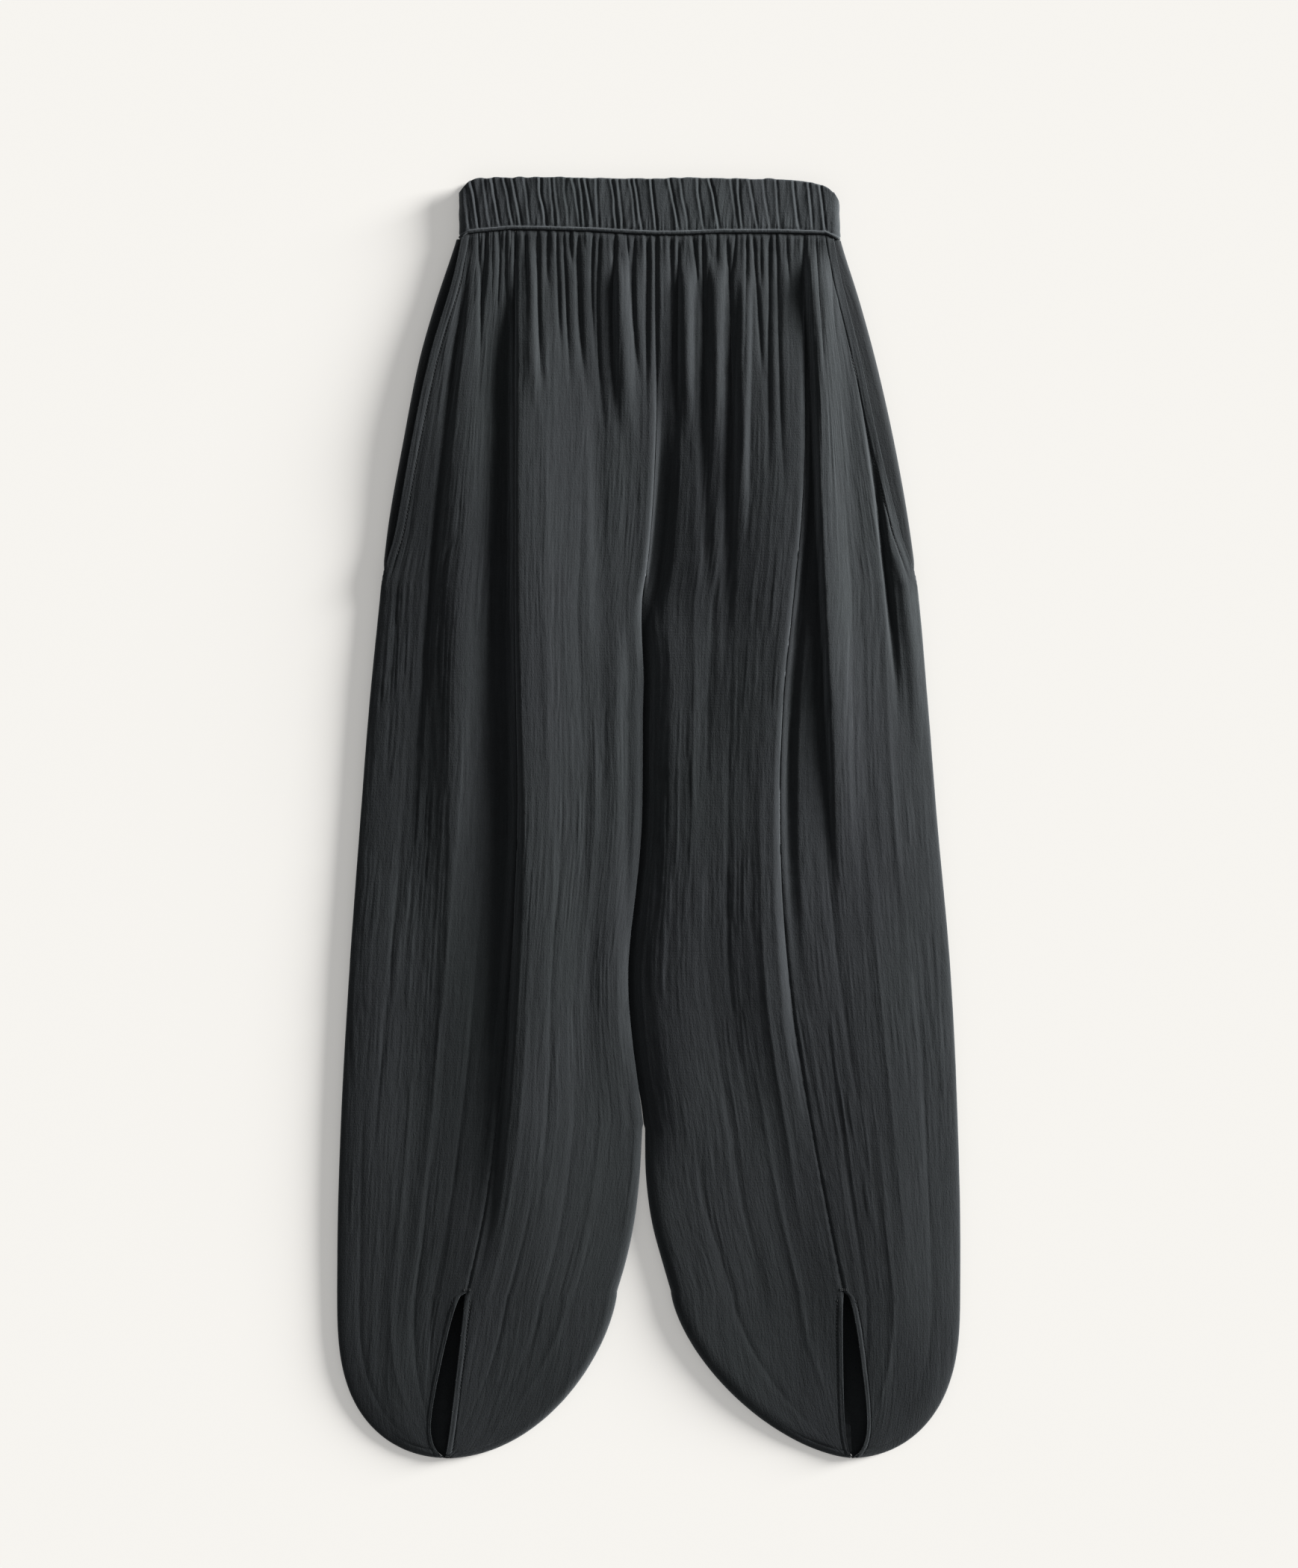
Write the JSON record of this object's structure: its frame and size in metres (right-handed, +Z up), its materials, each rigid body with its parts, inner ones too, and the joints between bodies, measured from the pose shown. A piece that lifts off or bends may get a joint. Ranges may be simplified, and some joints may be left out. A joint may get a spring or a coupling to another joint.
{
  "type": "balloon trousers",
  "caption": "Pull-on balloon trousers of crinkled double gauze with an elastic waistband, side pockets and slit leg ends, laid flat with the front up.",
  "frame": {"origin": "on the surface that the garment lies on, under the middle of its outline", "axes": "+Z up from the surface, the way the front faces; +Y along the garment towards the waist; +X to the right as seen from above with the waist away"},
  "size_m": [0.5053, 1.0403, 0.0301],
  "materials": {
    "cloth": "matt crinkled double gauze",
    "band": "matt crinkled double gauze over elastic",
    "facing": "matt crinkled double gauze",
    "bag": "matt thin plain weave"
  },
  "bodies": {
    "root": {"waistband": "band", "front_side_left": "cloth", "front_centre_left": "cloth", "front_centre_right": "cloth", "front_side_right": "cloth", "back_left": "cloth", "back_right": "cloth", "pocket_facing_left": "facing", "pocket_facing_right": "facing", "pocket_bag_left": "bag", "pocket_bag_right": "bag"}
  },
  "joints": []
}
